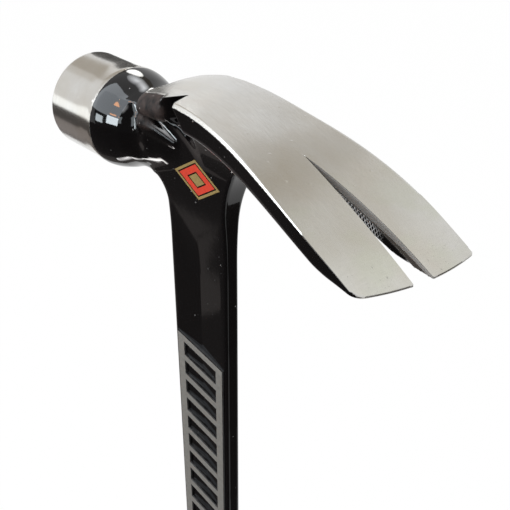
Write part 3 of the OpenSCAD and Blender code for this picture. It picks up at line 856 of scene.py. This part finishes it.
def makeCore():
    n = grip["around"]
    angles = np.arange(n) * 2.0 * math.pi / n
    cap, top, lip = grip["capHeight"], gripTop - grip["collar"], grip["lip"]
    turns = (0.4, 0.8, 1.2, math.pi / 2.0)                 # steps around a rounded lip
    butt = grip["buttRound"] * (1.0 - np.cos(np.linspace(0.12, 1.0, 9) * math.pi / 2.0))

    def row(z, inset=0.0):
        return ovalRing(np.float64(z), inset, angles)

    def middle(z):                                         # closes an end
        return np.array([[0.0, 0.0, z]] * n)

    rows = [middle(0.0), row(0.0, grip["buttInset"])]
    rows += [row(z) for z in butt]
    rows += [row(z) for z in np.linspace(grip["buttRound"] + 0.6, cap - lip, 22)]
    rows += [row(cap - lip + lip * math.sin(t), lip * (1.0 - math.cos(t))) for t in turns]
    rows += [row(z, grip["sleeveWall"]) for z in np.linspace(cap, top, 24)]
    rows += [row(top + lip - lip * math.sin(t), lip * (1.0 - math.cos(t))) for t in turns[::-1]]
    rows += [row(z) for z in np.linspace(top + lip, gripTop - grip["rimDrop"], 26)]
    rows += [row(gripTop, grip["rimInset"]), row(gripTop, grip["collarWall"] - grip["mouthLip"])]
    rows += [row(gripTop - grip["mouthDepth"], grip["collarWall"]), middle(gripTop - grip["mouthDepth"])]
    nylon = mouldedFinish("satin black nylon", grip["core"], grip["coreRough"], grip["coreGrain"])
    piece = newPiece("gripCore", np.concatenate(rows) * mm, ringFaces(len(rows), n), nylon, sharpAngle=50,
                     gap=grip["gap"] * mm)
    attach(piece, "root")
    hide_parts("grip_core")


makeSleeve()
makeCore()
print("grip made")


# studio: pale floor, white surroundings, soft boxes and flags
studio = {
    "floorSize": 8.0, "floorColour": (0.85, 0.85, 0.85, 1.0), "floorRough": 0.8, "fill": 0.55,
    "shadowReach": (0.03, 0.2), "whiteShares": (0.5, 0.99), "ceiling": 56.0, "cool": (0.86, 0.95, 1.0),
    "ember": (1.0, 0.40, 0.11), "emberLevel": 16.0,
}
headSpot = Vector((0.0, 0.0, pollAxis * mm))


def whiteRays(nodes, links):                               # 1 for camera, mirror and glass rays
    path = nodes.new("ShaderNodeLightPath")
    total = None
    for key in ("Is Camera Ray", "Is Glossy Ray", "Is Transmission Ray"):
        if total is None:
            total = path.outputs[key]
            continue
        either = nodes.new("ShaderNodeMath")
        either.operation = "MAXIMUM"
        links.new(total, either.inputs[0])
        links.new(path.outputs[key], either.inputs[1])
        total = either.outputs[0]
    return total


def makeWorld():
    world = bpy.data.worlds.new("white studio")
    scene.world = world
    world.use_nodes = True
    nodes, links = world.node_tree.nodes, world.node_tree.links
    level = nodes.new("ShaderNodeMapRange")
    level.inputs["To Min"].default_value = studio["fill"]
    level.inputs["To Max"].default_value = 1.0
    links.new(whiteRays(nodes, links), level.inputs["Value"])
    nodes["Background"].inputs["Color"].default_value = (1.0, 1.0, 1.0, 1.0)
    links.new(level.outputs[0], nodes["Background"].inputs["Strength"])


def makeFloor():
    bpy.ops.mesh.primitive_plane_add(size=studio["floorSize"])
    floor = bpy.context.object
    floor.name = "floor"
    mat = bpy.data.materials.new("pale floor")
    mat.use_nodes = True
    nodes, links = mat.node_tree.nodes, mat.node_tree.links
    shader = nodes["Principled BSDF"]
    shader.inputs["Base Color"].default_value = studio["floorColour"]
    shader.inputs["Roughness"].default_value = studio["floorRough"]
    glow = nodes.new("ShaderNodeEmission")
    blend = nodes.new("ShaderNodeMixShader")
    distance = nodes.new("ShaderNodeVectorMath")           # shadow around the foot, white further out
    distance.operation = "LENGTH"
    links.new(nodes.new("ShaderNodeTexCoord").outputs["Object"], distance.inputs[0])
    fade = nodes.new("ShaderNodeMapRange")
    limits = studio["shadowReach"] + studio["whiteShares"]
    for key, value in zip(("From Min", "From Max", "To Min", "To Max"), limits):
        fade.inputs[key].default_value = value
    links.new(distance.outputs["Value"], fade.inputs["Value"])
    share = nodes.new("ShaderNodeMath")
    share.operation = "MULTIPLY"
    links.new(whiteRays(nodes, links), share.inputs[0])
    links.new(fade.outputs[0], share.inputs[1])
    links.new(share.outputs[0], blend.inputs[0])
    links.new(shader.outputs[0], blend.inputs[1])
    links.new(glow.outputs[0], blend.inputs[2])
    links.new(blend.outputs[0], nodes["Material Output"].inputs["Surface"])
    floor.data.materials.append(mat)


def direction(azimuth, elevation):                         # unit vector, azimuth turning from +X to +Y
    a, e = math.radians(azimuth), math.radians(elevation)
    return Vector((math.cos(a) * math.cos(e), math.sin(a) * math.cos(e), math.sin(e)))


def softBox(name, azimuth, elevation, distance, size, level, colour, spot=(0.0, 0.0, 0.0), grid=None):
    light = bpy.data.lights.new(name, "AREA")              # level is the brightness of its face, 1 is white
    light.shape = "ELLIPSE" if grid else "RECTANGLE"
    light.size, light.size_y = size
    light.energy = 4.0 * size[0] * size[1] * level
    light.color = colour
    if grid:                                               # a honeycomb that keeps its light near one spot
        half = math.radians(grid)
        light.spread = 2.0 * half
        light.energy *= math.pi / 4.0 * (1.0 - half / math.tan(half))
    lamp = bpy.data.objects.new(name, light)
    scene.collection.objects.link(lamp)
    out = direction(azimuth, elevation)
    lamp.location = headSpot + Vector(spot) * mm + out * distance
    lamp.rotation_euler = (-out).to_track_quat("-Z", "Y").to_euler()
    lamp.visible_camera = False


def reflector(name, corners, level, colour):               # sheet that is seen only in reflections
    mat = bpy.data.materials.new(name)
    mat.use_nodes = True
    nodes = mat.node_tree.nodes
    glow = nodes.new("ShaderNodeEmission")
    glow.inputs["Color"].default_value = (*colour, 1.0)
    glow.inputs["Strength"].default_value = level
    mat.node_tree.links.new(glow.outputs[0], nodes["Material Output"].inputs["Surface"])
    sheet = newPiece(name, corners, [(0, 1, 2, 3)], mat, smooth=False)
    for rays in ("visible_camera", "visible_diffuse", "visible_shadow", "visible_transmission"):
        setattr(sheet, rays, False)


def floorMat(name, x, y, level, colour=(1.0, 0.9, 0.86), lift=0.004):
    corners = [(x[i], y[j], lift) for i, j in ((0, 0), (1, 0), (1, 1), (0, 1))]
    reflector(name, corners, level, colour)


def facingCard(name, azimuth, elevation, distance, size, level, colour, spot=(0.0, 0.0, 0.0)):
    out = direction(azimuth, elevation)
    across = Vector((-out.y, out.x, 0.0)).normalized() * size[0] / 2.0
    rise = out.cross(across).normalized() * size[1] / 2.0
    middle = headSpot + Vector(spot) * mm + out * distance
    corners = [middle + i * across + j * rise for i, j in ((-1, -1), (1, -1), (1, 1), (-1, 1))]
    reflector(name, corners, level, colour)


makeWorld()
makeFloor()
floorMat("frontMat", (-1.7, 1.9), (-2.4, -0.085), 0.09)
floorMat("backMat", (0.22, 1.4), (0.12, 1.2), 0.10)
floorMat("leftMat", (-1.7, -0.06), (-0.085, 0.06), 0.22)
floorMat("leftBounce", (-0.85, -0.5), (-0.33, -0.04), 0.30, lift=0.006)
facingCard("darkRoom", 279.0, 25.0, 1.7, (3.0, 2.6), 0.12, (1.0, 0.95, 0.92))
facingCard("pollBand", 209.0, -4.0, 1.0, (0.62, 0.20), 1.75, (0.95, 0.98, 1.0))
facingCard("pollWarm", 166.0, 36.0, 1.0, (0.5, 0.34), 0.58, (1.0, 0.93, 0.83))
facingCard("pollFade", 186.0, 37.0, 1.05, (0.26, 0.30), 0.8, (1.0, 0.97, 0.92))
facingCard("streakShade", 147.0, 5.0, 0.085, (0.025, 0.042), 0.10, (1.0, 0.98, 0.95), (-42.5, 0.0, 15.0))
for name, azimuth, size, level, colour in (("ceilingNear", 121.0, 0.34, 0.54, (1.0, 0.93, 0.80)),
                                           ("ceilingMid", 98.0, 0.30, 0.80, (1.0, 0.97, 0.89)),
                                           ("ceilingFar", 76.0, 0.55, 1.05, (1.0, 1.0, 0.95))):
    facingCard(name, azimuth, studio["ceiling"], 1.3, (size, 0.7), level, colour)
for name, azimuth, elevation, size, level in (("paneLeft", 246.5, 4.0, (0.20, 0.26), 11.0),
                                              ("paneMiddle", 260.5, 8.5, (0.16, 0.33), 20.0),
                                              ("paneRight", 275.0, 15.5, (0.40, 0.31), 3.6)):
    softBox(name, azimuth, elevation, 1.2, size, level, studio["cool"])
softBox("skyBox", 244.0, 43.0, 1.3, (1.05, 1.36), 4.2, (0.86, 0.93, 1.0))
for name, azimuth, elevation, size in (("emberHigh", 260.0, 46.0, (0.06, 0.24)),
                                       ("emberLow", 262.0, 21.0, (0.07, 0.05))):
    softBox(name, azimuth, elevation, 1.1, size, studio["emberLevel"], studio["ember"])
softBox("ribGlow", 280.0, 43.0, 0.1, (0.075, 0.075), 9.5, (0.97, 0.98, 1.0), (-12.0, -7.5, 6.0), grid=13.0)
softBox("ovalGlow", 138.0, 42.0, 0.1, (0.034, 0.034), 24.0, (1.0, 0.99, 0.96), (-33.0, 0.0, 15.0), grid=12.0)
softBox("neckGlow", 132.0, 62.0, 0.1, (0.05, 0.05), 12.0, (0.95, 0.97, 1.0), (-25.0, -1.0, 11.0), grid=13.0)
softBox("lowGlow", 193.0, -60.0, 0.06, (0.015, 0.015), 5.5, (1.0, 0.98, 0.97), (-21.0, -6.5, -8.5), grid=7.5)
softBox("rimGlow", 188.0, -50.0, 0.12, (0.03, 0.03), 14.0, (1.0, 0.97, 0.94), (22.0, -12.0, 4.0), grid=12.0)
print("studio made")


# camera fitted to the photograph
view = {
    "place": (0.26489, -0.19199, 0.51778), "azimuth": 51.35, "elevation": 26.82, "roll": -0.548,
    "lens": 84.92, "sensor": 36.0, "nearest": 0.01,
}


def makeCamera():
    a, e, r = (math.radians(view[k]) for k in ("azimuth", "elevation", "roll"))
    back = Vector((math.sin(a) * math.cos(e), -math.cos(a) * math.cos(e), math.sin(e)))
    right = Vector((math.cos(a), math.sin(a), 0.0))
    up = back.cross(right)
    turn = Matrix.Rotation(r, 3, back)
    right, up = turn @ right, turn @ up
    data = bpy.data.cameras.new("camera")
    data.lens = view["lens"]
    data.sensor_width = view["sensor"]
    data.clip_start = view["nearest"]
    camera = bpy.data.objects.new("camera", data)
    scene.collection.objects.link(camera)
    camera.matrix_world = Matrix((
        (right.x, up.x, back.x, view["place"][0]), (right.y, up.y, back.y, view["place"][1]),
        (right.z, up.z, back.z, view["place"][2]), (0.0, 0.0, 0.0, 1.0)))
    scene.camera = camera


makeCamera()
